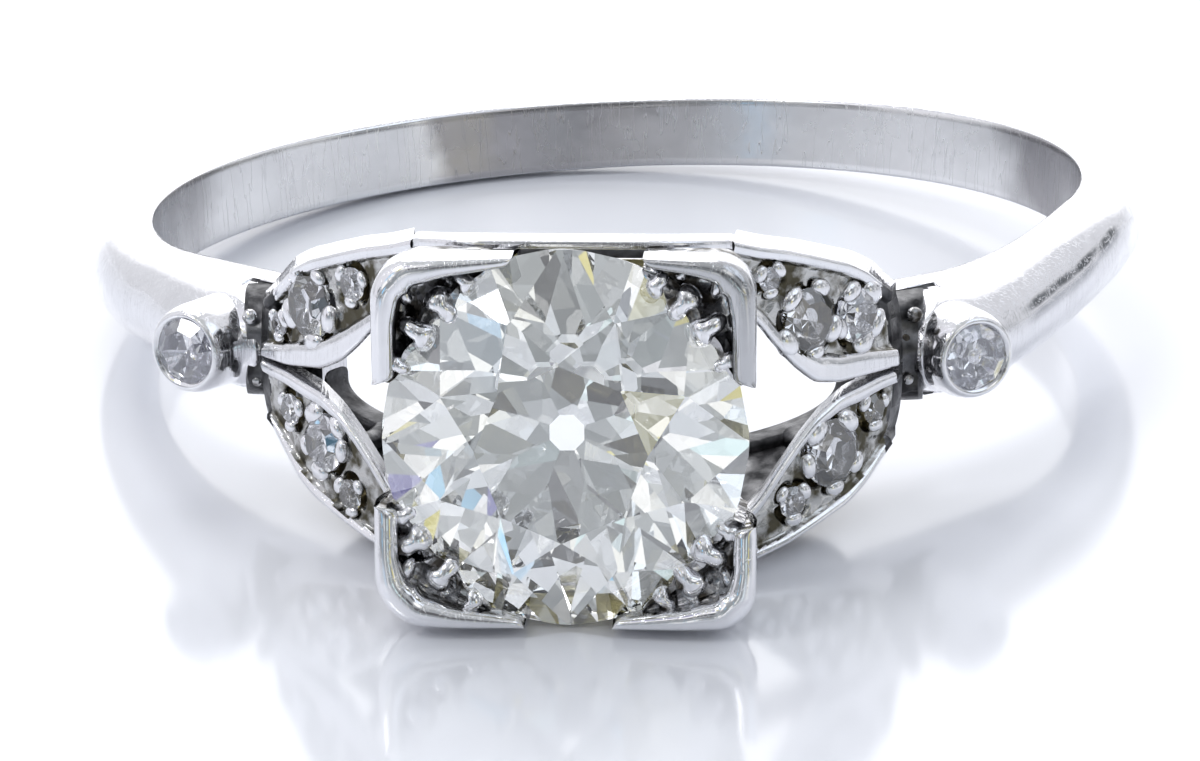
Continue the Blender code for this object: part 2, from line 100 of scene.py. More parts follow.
GIRDLE_U = 14.28
STONE_HALF_X, STONE_HALF_V = 3.066, 3.235
TABLE_SHARE = 0.47
CROWN_HEIGHT, PAVILION_DEPTH = 1.10, 2.48
GIRDLE_HALF = 0.035
CULET_SHARE, STAR_SHARE, LOWER_HALF_SHARE = 0.095, 0.47, 0.78

HEAD_HALF = 3.19
CLAW_TOP, CLAW_BOTTOM = 14.92, 12.7
CLAW_BULGE = ((12.7, 2.72), (13.2, 2.82), (13.6, 2.99), (13.9, 3.12), (14.2, 3.19))
# each claw's side, level, where its two arms end in x and in v, and its corner's radius
CLAWS = {
    "upper_left": (-1, 1, 0.83, 1.0, 0.75),
    "upper_right": (1, 1, 1.33, 1.0, 0.65),
    "lower_left": (-1, -1, 0.70, 1.10, 0.9),
    "lower_right": (1, -1, 0.78, 1.40, 0.7),
}
BRIGHT_CUT_U, BRIGHT_CUT_EDGES, BRIGHT_CUT_BOTTOM = 14.50, (14.33, 14.2), 13.1
BRIGHT_CUT_STEPS = 30
# the grains on each claw: share along it, share across it, radius
CLAW_GRAINS = (
    (0.14, 0.74, 0.19),
    (0.37, 0.76, 0.27),
    (0.63, 0.78, 0.28),
    (0.86, 0.74, 0.18),
    (0.50, 0.36, 0.20),
    (0.27, 0.40, 0.13),
)
SEAT_TOP, SEAT_BOTTOM = 12.68, 12.0
SEAT_HALF, SEAT_HOLE, SEAT_TAPER = 2.72, 1.64, 0.25
STRAP_END, STRAP_TAIL = 2.72, 0.4
STRAP_V, STRAP_V_DROP = 3.12, 0.20
STRAP_U, STRAP_U_DROP = 13.15, 0.95
STRAP_THICK, STRAP_HEIGHT = 0.18, 0.60
RAIL_END = 29.87
RAIL_V, RAIL_V_RISE = 0.72, 1.18
RAIL_HALF_WIDTH, RAIL_R = 0.22, 9.35
POST_R = 0.21
HEAD_POST_TURN, HEAD_POST_X, HEAD_POST_V = 10.0, 2.1, 2.1
LEAF_POST_TURN, LEAF_POST_X, LEAF_POST_V = 23.0, 4.15, 1.3
# the web's section: share of the way from the rail to the leaf, and how far it stands outwards
WEB_OUTSIDE = ((0, 0.0), (0.35, 0.08), (0.7, 0.10), (1, 0.0))
WEB_INSIDE = ((1, -0.14), (0.7, -0.04), (0.35, -0.05), (0, -0.14))

# ---- the ring's pose on the table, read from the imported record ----
table_mount = frame["record"]["mounts"][0]
head_way = Vector(table_mount["axis"]).normalized()
LEAN = math.asin(head_way.z)
LEAN_TURN = Matrix.Rotation(-LEAN, 4, "X")
table_point = Vector(table_mount["pos_m"])
table_in_ring = Vector((0, -(GIRDLE_U + CROWN_HEIGHT) * MM, 0))
POSE = Matrix.Translation(table_point - LEAN_TURN @ table_in_ring) @ LEAN_TURN


def place(x, v, u):
    return POSE @ (Vector((x, -u, v)) * MM)


def direction(x, v, u):
    return (POSE.to_3x3() @ Vector((x, -u, v))).normalized()


def lookup(pairs, at):
    return np.interp(at, [p[0] for p in pairs], [p[1] for p in pairs])


def smooth_lookup(pairs, at, spread):
    return sum(float(lookup(pairs, at + spread * k)) for k in (-1, -0.5, 0, 0.5, 1)) / 5


def ease(value, low, high):
    share = np.clip((value - low) / (high - low), 0, 1)
    return share * share * (3 - 2 * share)


# ---- materials ----


class Nodes:
    """Adds and links the nodes of one node tree."""

    def __init__(self, tree):
        self.tree = tree

    def add(self, kind, **settings):
        node = self.tree.nodes.new(kind)
        for key, value in settings.items():
            setattr(node, key, value)
        return node

    def link(self, out, into):
        self.tree.links.new(out, into)

    def tint(self, share, first, second):
        mix = self.add("ShaderNodeMix", data_type="RGBA")
        self.link(share, mix.inputs["Factor"])
        for socket, value in ((mix.inputs[6], first), (mix.inputs[7], second)):
            if isinstance(value, tuple):
                socket.default_value = (*value, 1.0)
            else:
                self.link(value, socket)
        return mix.outputs[2]


class Shader(Nodes):
    """A Principled material under construction, with its texture space in millimetres."""

    def __init__(self, name, color, roughness, metallic):
        self.material = bpy.data.materials.new(name)
        self.material.use_nodes = True
        super().__init__(self.material.node_tree)
        self.bsdf = self.tree.nodes["Principled BSDF"]
        self.bsdf.inputs["Base Color"].default_value = (*color, 1.0)
        self.bsdf.inputs["Roughness"].default_value = roughness
        self.bsdf.inputs["Metallic"].default_value = metallic
        where = self.add("ShaderNodeTexCoord")
        scale = self.add("ShaderNodeMapping")
        scale.inputs["Scale"].default_value = (1 / MM, 1 / MM, 1 / MM)
        self.link(where.outputs["Object"], scale.inputs["Vector"])
        self.space = scale.outputs["Vector"]
        self.height = None

    def feed(self, value, socket):
        self.link(value, self.bsdf.inputs[socket])

    def noise(self, scale, detail=3.0, stretch=(1, 1, 1), turn=(0, 0, 0), rough=0.5):
        mapping = self.add("ShaderNodeMapping")
        mapping.inputs["Scale"].default_value = stretch
        mapping.inputs["Rotation"].default_value = turn
        self.link(self.space, mapping.inputs["Vector"])
        noise = self.add("ShaderNodeTexNoise")
        noise.inputs["Scale"].default_value = scale
        noise.inputs["Detail"].default_value = detail
        noise.inputs["Roughness"].default_value = rough
        self.link(mapping.outputs["Vector"], noise.inputs["Vector"])
        return noise.outputs["Fac"]

    def cells(self, scale):
        cells = self.add("ShaderNodeTexVoronoi")
        cells.inputs["Scale"].default_value = scale
        self.link(self.space, cells.inputs["Vector"])
        return cells.outputs["Distance"]

    def remap(self, value, low, high, to_low, to_high):
        node = self.add("ShaderNodeMapRange", clamp=True)
        self.link(value, node.inputs["Value"])
        for key, number in (("From Min", low), ("From Max", high), ("To Min", to_low), ("To Max", to_high)):
            node.inputs[key].default_value = number
        return node.outputs["Result"]

    def join(self, operation, a, b):
        node = self.add("ShaderNodeMath", operation=operation)
        for socket, value in zip(node.inputs, (a, b)):
            if isinstance(value, (int, float)):
                socket.default_value = value
            else:
                self.link(value, socket)
        return node.outputs["Value"]

    def bump(self, height, depth_mm):
        node = self.add("ShaderNodeBump")
        node.inputs["Distance"].default_value = depth_mm * MM
        self.link(height, node.inputs["Height"])
        if self.height is not None:
            self.link(self.height, node.inputs["Normal"])
        self.height = node.outputs["Normal"]
        self.feed(self.height, "Normal")


def scratches(shader, scale, turn, stretch=(1.0, 1.0, 0.04)):
    """Fine hair lines: the thin ridges of a noise stretched along one direction."""
    lines = shader.noise(scale, 2.0, stretch, turn, 0.6)
    off_ridge = shader.join("ABSOLUTE", shader.join("SUBTRACT", lines, 0.5), 0)
    return shader.remap(off_ridge, 0.0, 0.012, 1.0, 0.0)


def polished_metal(name, color, roughness, wear, dents=0.0):
    shader = Shader(name, color, roughness, 1.0)
    hair = shader.join(
        "MAXIMUM",
        scratches(shader, 5.5, (0.3, 0.2, 0.5)),
        scratches(shader, 7.0, (1.2, -0.4, 2.1)),
    )
    smudge = shader.noise(0.9, 4.0)
    dull = shader.remap(smudge, 0.35, 0.7, roughness * 0.6, roughness * 1.7)
    shader.feed(shader.join("ADD", dull, shader.join("MULTIPLY", hair, 0.10 * wear)), "Roughness")
    stain = shader.remap(shader.noise(1.7, 5.0), 0.4, 0.75, 0.0, 0.6)
    shader.feed(shader.tint(stain, color, tuple(c * 0.90 for c in color)), "Base Color")
    shader.bump(hair, -0.0015 * wear)
    shader.bump(shader.noise(1.1, 2.0), 0.010 + dents)
    return shader.material


def band_inside(name, light, dark):
    """The inside of the band: brushed across, duller in patches along it, and darker across its middle and
    far ends as painted reflection of the head and the table it faces.
    """
    shader = Shader(name, light, 0.22, 1.0)
    across = shader.add("ShaderNodeSeparateXYZ")
    shader.link(shader.space, across.inputs["Vector"])
    drift = shader.join("MULTIPLY", shader.join("SUBTRACT", shader.noise(0.5, 4.0), 0.5), 2.4)
    along = shader.join("ADD", across.outputs["X"], drift)
    # painted reflection: darker across the middle and at the far ends, where the inside mirrors the head and
    # the table
    share = shader.join(
        "MULTIPLY", shader.remap(along, -4.4, -3.9, 0.0, 1.0), shader.remap(along, -1.5, 4.5, 1.0, 0.0)
    )
    share = shader.join("MAXIMUM", share, shader.remap(along, 7.0, 7.8, 0.0, 1.0))
    share = shader.join("MAXIMUM", share, shader.remap(along, -8.5, -7.7, 0.8, 0.0))
    shader.feed(shader.tint(share, light, dark), "Base Color")
    hair = scratches(shader, 4.0, (0.0, 0.0, 0.0), (1.0, 1.0, 0.05))
    dull = shader.remap(shader.noise(0.9, 4.0), 0.35, 0.7, 0.16, 0.30)
    shader.feed(shader.join("ADD", dull, shader.join("MULTIPLY", hair, 0.12)), "Roughness")
    shader.bump(hair, -0.002)
    shader.bump(shader.noise(1.1, 2.0), 0.012)
    return shader.material


def graver_cut_metal(name, light, dark, fine):
    """Bright-cut metal: small flat facets left by a graver, darkened in noise patches that stand partly for
    age and partly for painted shade in the recessed cuts.
    """
    shader = Shader(name, light, 0.16, 1.0)
    grime_and_shade = shader.remap(shader.noise(fine, 4.0), 0.44, 0.60, 0.0, 1.0)
    shader.feed(shader.tint(grime_and_shade, light, dark), "Base Color")
    shader.feed(shader.remap(grime_and_shade, 0.0, 1.0, 0.10, 0.36), "Roughness")
    shader.bump(shader.cells(4.0), 0.04)
    shader.bump(shader.noise(14.0, 3.0), 0.006)
    return shader.material


def shade_painted_metal(name, light, dark):
    """Dark metal for painted shade, lighter and glossier in patches laid by a noise."""
    shader = Shader(name, dark, 0.4, 1.0)
    patch = shader.remap(shader.noise(2.4, 5.0), 0.35, 0.7, 0.0, 1.0)
    shader.feed(shader.tint(patch, dark, light), "Base Color")
    shader.feed(shader.remap(patch, 0.0, 1.0, 0.5, 0.24), "Roughness")
    shader.bump(shader.noise(9.0, 4.0), 0.012)
    return shader.material


DIAMOND_IOR = 2.417


def diamond_material(name, color, tinted):
    shader = Shader(name, color, 0.0, 0.0)
    shader.bsdf.inputs["Transmission Weight"].default_value = 1.0
    shader.bsdf.inputs["IOR"].default_value = DIAMOND_IOR
    cloud = shader.remap(shader.noise(0.35, 2.0), 0.35, 0.65, 0.0, 1.0)
    shader.feed(shader.tint(cloud, color, tinted), "Base Color")
    return shader.material


BAND_METAL = polished_metal("band_polished_metal", (0.83, 0.83, 0.855), 0.10, wear=1.0)
RIM_METAL = polished_metal("rim_polished_metal", (0.84, 0.84, 0.86), 0.085, wear=0.8, dents=0.004)
CLAW_METAL = polished_metal("claw_polished_metal", (0.85, 0.85, 0.87), 0.09, wear=0.8, dents=0.006)
# a darker copy of the claw metal for the upper right claw: painted shade
SHADED_CLAW_METAL = polished_metal("claw_dull_metal", (0.55, 0.555, 0.57), 0.12, wear=1.2, dents=0.008)
# darker than the polished metal: its base and dark patches stand partly for age and partly for painted shade
# in the claws' recessed corners
CUT_METAL = graver_cut_metal("bright_cut_metal", (0.62, 0.62, 0.63), (0.07, 0.062, 0.052), 2.2)
FIELD_METAL = graver_cut_metal("leaf_field_metal", (0.52, 0.52, 0.51), (0.09, 0.082, 0.058), 2.4)
# painted shade: near-black metal for the groove under the leaf tips, the band's groove, the leaf tips, the
# upper claws' inner faces and the lower webs
DARK_METAL = shade_painted_metal("groove_painted_shade_metal", (0.16, 0.16, 0.165), (0.02, 0.02, 0.022))
# painted shade, tinted olive, for the leaves' recesses round their stones
OLIVE_METAL = shade_painted_metal("recess_olive_painted_shade_metal", (0.30, 0.25, 0.13), (0.05, 0.042, 0.025))
# a darker copy of the polished metal, painted shade, for the leaves' inner side walls and the seat frame's
# outer wall and bottom; rougher and more scratched as wear
WALL_METAL = polished_metal("leaf_wall_worn_metal", (0.60, 0.60, 0.615), 0.22, wear=1.4)
# painted shade: near-black metal for the rails and posts under the head
GALLERY_METAL = shade_painted_metal("gallery_shaded_metal", (0.12, 0.12, 0.125), (0.03, 0.03, 0.032))
# painted shade for the seat frame's top and hole under the stone, tinted warm so that the stone shows olive
# tones
SEAT_METAL = shade_painted_metal("seat_warm_painted_shade_metal", (0.80, 0.74, 0.42), (0.28, 0.24, 0.11))
INNER_METAL = band_inside("band_inner_brushed_reflection_painted_metal", (0.84, 0.84, 0.845), (0.42, 0.41, 0.42))
CENTRE_GLASS = diamond_material("centre_diamond_clear", (0.985, 1.0, 1.0), (0.985, 0.995, 0.955))
SMALL_GLASS = diamond_material("small_diamond_clear", (0.97, 0.975, 1.0), (0.94, 0.95, 0.99))


# ---- mesh helpers ----


def add_object(name, data):
    made = bpy.data.objects.new(name, data)
    bpy.context.scene.collection.objects.link(made)
    return made


def add_piece(name, vertices, faces, materials, slot, stands_for=(), sharp=None, marks=None):
    mesh = bpy.data.meshes.new(name)
    mesh.from_pydata([tuple(p) for p in vertices], [], faces)
    for material in materials:
        mesh.materials.append(material)
    if marks is not None:
        mesh.polygons.foreach_set("material_index", marks)
    work = bmesh.new()
    work.from_mesh(mesh)
    bmesh.ops.recalc_face_normals(work, faces=work.faces)
    work.to_mesh(mesh)
    work.free()
    mesh.shade_smooth()
    if sharp is not None:
        mesh.set_sharp_from_angle(angle=math.radians(sharp))
    return ready(add_object(name, mesh), stands_for)


def ready(made, stands_for=()):
    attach(made, "root")
    if stands_for:
        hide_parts(*stands_for)
    return made


def skin(rings):
    """The surface over a row of rings, with both ends closed, as (vertices, faces)."""
    count = len(rings[0])
    vertices = [p for ring in rings for p in ring]
    faces = []
    for i in range(len(rings) - 1):
        for j in range(count):
            a, b = i * count + j, i * count + (j + 1) % count
            faces.append((a, b, b + count, a + count))
    faces.append(tuple(range(count)))
    faces.append(tuple(range(len(vertices) - count, len(vertices))))
    return vertices, faces


def ball(centre, radius, up, squash, rings=7, sides=12):
    """A flattened bead as (vertices, faces)."""
    turn = UP.rotation_difference(up).to_matrix()
    pole = turn @ Vector((0, 0, radius * squash)) * MM
    vertices = [centre + pole]
    for i in range(1, rings):
        tip = math.pi * i / rings
        for k in range(sides):
            spin = 2 * math.pi * k / sides
            local = (math.sin(tip) * math.cos(spin), math.sin(tip) * math.sin(spin), squash * math.cos(tip))
            vertices.append(centre + turn @ Vector(local) * (radius * MM))
    vertices.append(centre - pole)
    faces = []
    for k in range(sides):
        n = (k + 1) % sides
        faces.append((0, 1 + k, 1 + n))
        for i in range(rings - 2):
            a = 1 + i * sides
            faces.append((a + k, a + sides + k, a + sides + n, a + n))
        last = 1 + (rings - 2) * sides
        faces.append((last + k, len(vertices) - 1, last + n))
    return vertices, faces


def gather(parts):
    vertices, faces = [], []
    for some, more in parts:
        base = len(vertices)
        vertices += list(some)
        faces += [tuple(base + i for i in face) for face in more]
    return vertices, faces


def sunk(depth):
    return Matrix.Translation(Vector((0, 0, -depth * MM)))


def frame_at(origin, up, across):
    """A frame at a point whose z runs up and whose x leans as far as it can towards across."""
    z = up.normalized()
    y = z.cross(across).normalized()
    x = y.cross(z)
    return Matrix.Translation(origin) @ Matrix((x, y, z)).transposed().to_4x4()


def turned(profile, spot, sides, wobble):
    """A closed turned shape as (vertices, faces): its profile holds (radius, height), 0 at both ends."""
    vertices, faces, rings = [], [], []
    phase = chance.uniform(0, 6.28)
    for radius, height in profile:
        ring = []
        for k in range(1 if radius == 0 else sides):
            spin = 2 * math.pi * k / sides
            r = radius * (1 + wobble * math.sin(2 * spin + phase))
            ring.append(len(vertices))
            vertices.append(spot @ (Vector((r * math.cos(spin), r * math.sin(spin), height)) * MM))
        rings.append(ring)
    for low, high in zip(rings, rings[1:]):
        for k in range(sides):
            n = (k + 1) % sides
            corners = [low[k % len(low)], low[n % len(low)], high[n % len(high)], high[k % len(high)]]
            faces.append(tuple(dict.fromkeys(corners)))
    return vertices, faces


facet_seeds = chance.uniform(-4, 4, (900, 2))
facet_tilts = chance.uniform(-1, 1, (900, 2))


def facets(x, v, fine):
    """A surface of small tilted flats, as a graver leaves it."""
    at = np.array([x, v]) * fine
    nearest = int(np.argmin(((facet_seeds - at) ** 2).sum(axis=1)))
    return float(np.clip((at - facet_seeds[nearest]) @ facet_tilts[nearest], -0.4, 0.4))


# ---- diamonds ----


def ring_point(turn, radius, height):
    return Vector((radius * math.cos(turn), radius * math.sin(turn), height))


def plane_through(a, b, c, outward):
    normal = (b - a).cross(c - a).normalized()
    return (a, normal if normal.dot(outward) > 0 else -normal)


def hand_cut(planes, tilt):
    """Tips every facet but the first by a little, as on a stone ground by hand."""
    cut = [planes[0]]
    for point, normal in planes[1:]:
        wander = Vector(chance.normal(0, tilt, 3))
        cut.append((point, (normal + wander).normalized()))
    return cut


def old_european_planes(crown, pavilion, girdle):
    planes = [(UP * crown, UP), (DOWN * pavilion, DOWN)]
    step = math.pi / 8
    star_r = TABLE_SHARE + (1 - TABLE_SHARE) * STAR_SHARE
    star_h = crown + (girdle - crown) * (star_r * math.cos(step) - TABLE_SHARE) / (1 - TABLE_SHARE)
    low_r = 1 - (1 - CULET_SHARE) * LOWER_HALF_SHARE
    low_h = -girdle + (girdle - pavilion) * (1 - low_r * math.cos(step)) / (1 - CULET_SHARE)
    for k in range(8):
        turn = 2 * step * k
        side = Vector((-math.sin(turn), math.cos(turn), 0))
        table, edge = ring_point(turn, TABLE_SHARE, crown), ring_point(turn, 1, girdle)
        planes.append(plane_through(table, edge, table + side, UP))
        star = ring_point(turn + step, star_r, star_h)
        planes.append(plane_through(table, star, ring_point(turn + 2 * step, TABLE_SHARE, crown), UP))
        culet, low_edge = ring_point(turn, CULET_SHARE, -pavilion), ring_point(turn, 1, -girdle)
        planes.append(plane_through(culet, low_edge, culet + side, DOWN))
        for way in (step, -step):
            star = ring_point(turn + way, star_r, star_h)
            planes.append(plane_through(star, edge, ring_point(turn + way, 1, girdle), UP))
            low_star = ring_point(turn + way, low_r, low_h)
            planes.append(plane_through(low_star, low_edge, ring_point(turn + way, 1, -girdle), DOWN))
    return planes


def single_cut_planes(table, crown, pavilion, girdle):
    planes = [(UP * crown, UP)]
    for k in range(8):
        turn = math.pi / 4 * k
        out = ring_point(turn, 1, 0)
        side = Vector((-math.sin(turn), math.cos(turn), 0))
        top = ring_point(turn, table, crown)
        planes.append(plane_through(top, out + UP * girdle, top + side, UP))
        tip = DOWN * pavilion
        planes.append(plane_through(tip, out - UP * girdle, tip + side, DOWN))
    return planes


def cut_gem(name, spot, sides, planes, scale, material):
    """A round blank ground down by one plane after another."""
    work = bmesh.new()
    top = [work.verts.new((math.cos(a), math.sin(a), 1.0)) for a in np.arange(sides) * 2 * math.pi / sides]
    low = [work.verts.new((p.co.x, p.co.y, -1.0)) for p in top]
    work.faces.new(top)
    work.faces.new(low[::-1])
    for k in range(sides):
        n = (k + 1) % sides
        work.faces.new((low[k], low[n], top[n], top[k]))
    for point, normal in planes:
        cut = bmesh.ops.bisect_plane(
            work,
            geom=work.verts[:] + work.edges[:] + work.faces[:],
            dist=1e-7,
            plane_co=point,
            plane_no=normal,
            clear_outer=True,
        )
        rim = [e for e in cut["geom_cut"] if isinstance(e, bmesh.types.BMEdge)]
        if rim:
            bmesh.ops.edgeloop_fill(work, edges=rim)
    bmesh.ops.remove_doubles(work, verts=work.verts, dist=1e-6)
    bmesh.ops.recalc_face_normals(work, faces=work.faces)
    shape = spot @ Matrix.Diagonal((*(MM * s for s in scale), 1.0))
    bmesh.ops.transform(work, matrix=shape, verts=work.verts)
    mesh = bpy.data.meshes.new(name)
    work.to_mesh(mesh)
    work.free()
    mesh.materials.append(material)
    return add_object(name, mesh)


SMALL_TABLE, SMALL_CROWN, SMALL_PAVILION, SMALL_GIRDLE = 0.60, 0.34, 0.80, 0.04


def small_diamond(node, radius, spot):
    planes = hand_cut(single_cut_planes(SMALL_TABLE, SMALL_CROWN, SMALL_PAVILION, SMALL_GIRDLE), 0.012)
    made = cut_gem(node + "_cut", spot, 64, planes, (radius, radius, radius), SMALL_GLASS)
    return ready(made, (node,))


MEAN_HALF = (STONE_HALF_X + STONE_HALF_V) / 2
GEM_SPOT = frame_at(place(0, 0, GIRDLE_U), direction(0, 0, 1), direction(1, 0, 0))
GEM_PLANES = old_european_planes(*(h / MEAN_HALF for h in (CROWN_HEIGHT, PAVILION_DEPTH, GIRDLE_HALF)))
GEM_SCALE = (STONE_HALF_X, STONE_HALF_V, MEAN_HALF)
centre = cut_gem("centre_diamond_cut", GEM_SPOT, 128, hand_cut(GEM_PLANES, 0.006), GEM_SCALE, CENTRE_GLASS)
ready(centre, ("centre_diamond",))

CROWN_PLANES = [(p, n) for p, n in GEM_PLANES if n.z > 0.01]
STONE_AIR = 0.014


def stone_share(x, v):
    """How far out a point stands in the large stone's outline: 1 is on its girdle."""
    return math.hypot(x / STONE_HALF_X, v / STONE_HALF_V)


def crown_u(x, v):
    """The height of the large stone's crown over a point."""
    a, b = x / STONE_HALF_X, v / STONE_HALF_V
    low = min(p.z - (n.x * (a - p.x) + n.y * (b - p.y)) / n.z for p, n in CROWN_PLANES)
    return GIRDLE_U + low * MEAN_HALF + STONE_AIR


def off_the_stone(x, v, u):
    """The point, moved straight outwards where it would stand inside the large stone."""
    rise = (u - GIRDLE_U) / MEAN_HALF
    if rise > 0:
        reach = 1 - (rise - GIRDLE_HALF / MEAN_HALF) * (1 - TABLE_SHARE) * MEAN_HALF / CROWN_HEIGHT
    else:
        reach = 1 + (rise + GIRDLE_HALF / MEAN_HALF) * (1 - CULET_SHARE) * MEAN_HALF / PAVILION_DEPTH
    reach = min(1.0, reach) + STONE_AIR / MEAN_HALF
    share = stone_share(x, v)
    return (x * reach / share, v * reach / share, u) if 0 < share < reach else (x, v, u)


# ---- band ----


def band_shift(x, away):
    share = min(1.0, max(0.0, (away - TWIST_START) / (TWIST_FULL - TWIST_START)))
    return share * share * (3 - 2 * share) * (BAND_LIFT + x * math.tan(BAND_TWIST))


def band_outline(half, thick):
    outline = []
    for k in range(61):
        swing = DOME_SWING * (1 - k / 30)
        rise = BAND_CORE + (thick - BAND_CORE) * math.cos(swing)
        outline.append((rise, half * math.sin(swing) / math.sin(DOME_SWING)))
    low = BAND_CORE + (thick - BAND_CORE) * math.cos(DOME_SWING)
    for k in range(1, 6):
        swing = math.pi / 2 * k / 6
        outline.append((low * (1 - math.sin(swing)), -half + BAND_EDGE * (1 - math.cos(swing))))
    for k in range(13):
        outline.append((0.0, (-half + BAND_EDGE) * (1 - k / 6)))
    for k in range(5, 0, -1):
        swing = math.pi / 2 * k / 6
        outline.append((low * (1 - math.sin(swing)), half - BAND_EDGE * (1 - math.cos(swing))))
    return outline


def band_ring(turn):
    """One section of the band: its end rises out of the groove as a rounded tongue that holds the collet."""
    away = min(turn, 360.0 - turn)
    half = smooth_lookup(BAND_HALF_WIDTHS, away, 3.5)
    full = smooth_lookup(BAND_OUTER_RS, away, 0.5 + 3.0 * min(1.0, max(0.0, (away - 40.0) / 8.0))) - FINGER_R
    angle = math.radians(turn)
    wear = 0.010 * math.sin(3 * angle + 0.7) + 0.006 * math.sin(7 * angle)
    ring, dark = [], []
    for rise, v in band_outline(half, full):
        short = (TONGUE_CENTRE - away) / TONGUE_REACH
        inside = 1 - math.hypot(max(0.0, short), v / TONGUE_HALF) if short > 0 else 1.0
        keep = float(ease(inside, -0.02, 0.16)) if rise > GROOVE_RISE else 1.0
        height = rise * keep + min(rise, GROOVE_RISE) * (1 - keep)
        radius = FINGER_R + height + (wear if rise > 0.4 else 0)
        x, u = radius * math.sin(angle), radius * math.cos(angle)
        ring.append(place(x, v + band_shift(x, away), u))
        # the groove beside the tongue takes the dark metal as painted shade, the inside takes the inner metal
        dark.append(2 if rise < 0.02 else int(keep < 0.35))
    return ring, dark


right_turns = np.linspace(BAND_END, BAND_FINE_UNTIL, 130)
back_turns = np.linspace(BAND_FINE_UNTIL, 360 - BAND_FINE_UNTIL, 280)[1:-1]
left_turns = np.linspace(360 - BAND_FINE_UNTIL, 360 - BAND_END, 130)
turns = np.concatenate([right_turns, back_turns, left_turns])
rings, darks = zip(*[band_ring(t) for t in turns])
vertices, faces = skin(rings)
per_ring = len(rings[0])
marks = [min(darks[i // per_ring][i % per_ring] for i in f) if len(f) == 4 else 0 for f in faces]
shades = (BAND_METAL, DARK_METAL, INNER_METAL)
add_piece("shank_polished", vertices, faces, shades, "polished_metal", ("shank",), 60, marks)

# ---- collets ----
for side_name, side in SIDES.items():
    axis = direction(side * math.sin(COLLET_TILT), 0, math.cos(COLLET_TILT))
    spot = frame_at(place(COLLET_XS[side_name], 0, COLLET_U), axis, direction(0, 1, 0))
    profile = [(0, -COLLET_LENGTH), (COLLET_R, -COLLET_LENGTH), (COLLET_R, -1.2), (COLLET_R, -0.7)]
    for k in range(1, 11):
        swing = math.pi / 2 * k / 10
        radius = COLLET_R - COLLET_ROUNDING * (1 - math.cos(swing))
        profile.append((radius, -0.5 + 0.5 * math.sin(swing)))
    for clear, height in ((0.02, -0.01), (-0.02, -0.05), (0.012, -0.12), (0.012, -0.2)):
        profile.append((COLLET_STONE_R + clear, height))
    profile += [(0.3, -0.72), (0.0, -0.75)]
    node = side_name + "_collet"
    drum = turned(profile, spot, 96, 0.006)
    add_piece(node + "_drum", *drum, (CLAW_METAL,), "polished_metal", (node,), 45)
    seat = spot @ Matrix.Rotation(0.3 * side, 4, "Z") @ sunk(COLLET_STONE_DROP)
    small_diamond(node + "_diamond", COLLET_STONE_R, seat)

# ---- leaf shoulders ----


def leaf_top(x):
    run = x - LEAF_ORIGIN_X
    return LEAF_U - LEAF_SLOPE * run - LEAF_CURVE * run * run


def leaf_angle(x):
    return np.arctan(LEAF_SLOPE + 2 * LEAF_CURVE * (x - LEAF_ORIGIN_X))


def polyline_distance(points, line):
    best = np.full(len(points), 1e9)
    for a, b in zip(line[:-1], line[1:]):
        along = b - a
        share = np.clip(((points - a) @ along) / max(along @ along, 1e-12), 0, 1)
        best = np.minimum(best, np.linalg.norm(points - (a + share[:, None] * along), axis=1))
    return best


blur = np.hanning(15) / np.hanning(15).sum()


def rounded(pairs, xs):
    raw = lookup(pairs, xs)
    padded = np.concatenate([2 * raw[0] - raw[7:0:-1], raw, 2 * raw[-1] - raw[-2:-9:-1]])
    return np.convolve(padded, blur, "valid")


ACROSS = 61


def leaf_heights(xs, arc, leaf_outer, leaf_inner, level, stones):
    """Each grid point's height over the leaf's plain surface, with its rims, field and stone seats."""
    v = leaf_inner[:, None] + (leaf_outer - leaf_inner)[:, None] * np.linspace(0, 1, ACROSS)[None, :]
    flat = np.stack([np.repeat(arc[:, None], ACROSS, axis=1).ravel(), v.ravel()], axis=1)
    outer = polyline_distance(flat, np.stack([arc, leaf_outer], axis=1)[::3])
    inner = polyline_distance(flat, np.stack([arc, leaf_inner], axis=1)[::3])
    edge = np.minimum(outer, inner)
    inner_rim = np.repeat(lookup(INNER_RIMS[level], xs)[:, None], ACROSS, axis=1).ravel()
    room = np.minimum(outer - OUTER_RIMS[level], inner - inner_rim)
    tip = arc[-1] - flat[:, 0]
    short = np.clip(LEAF_LIP - np.minimum(edge, tip), 0, LEAF_LIP)
    height = np.sqrt(np.clip(LEAF_LIP**2 - short**2, 0, None)) - LEAF_LIP
    height -= RIM_DROP * ease(room, -0.12, 0.0)
    height -= (LEAF_FIELD - RIM_DROP) * ease(room, -0.015, 0.07)
    for _, x, v_at, radius in stones:
        centre_arc = np.interp(x, xs, arc)
        away = np.hypot(flat[:, 0] - centre_arc, flat[:, 1] - v_at)
        around = np.arctan2(flat[:, 1] - v_at, flat[:, 0] - centre_arc)
        claw = np.cos(around * (3 if radius > BIG_STONE_R else 2) + 5 * x) ** 8
        moat = -LEAF_FIELD - 0.17 * (1 - ease(away, radius + 0.02, radius + 0.16)) * (1 - claw)
        height = np.where((away < radius + 0.16) & (room > 0.02), np.minimum(height, moat), height)
        cup = -LEAF_FIELD - 0.16 - 0.85 * (radius - away)
        height = np.where(away < radius + 0.005, cup, height)
    return height.reshape(len(xs), ACROSS), v


def tip_corner(x, v, tip):
    """How far a leaf's outer corner is drawn back from its tip, to round it."""
    return TIP_ROUNDING * float(ease(x, tip - 1.0, tip)) * min(1.0, v / 1.2) ** 3


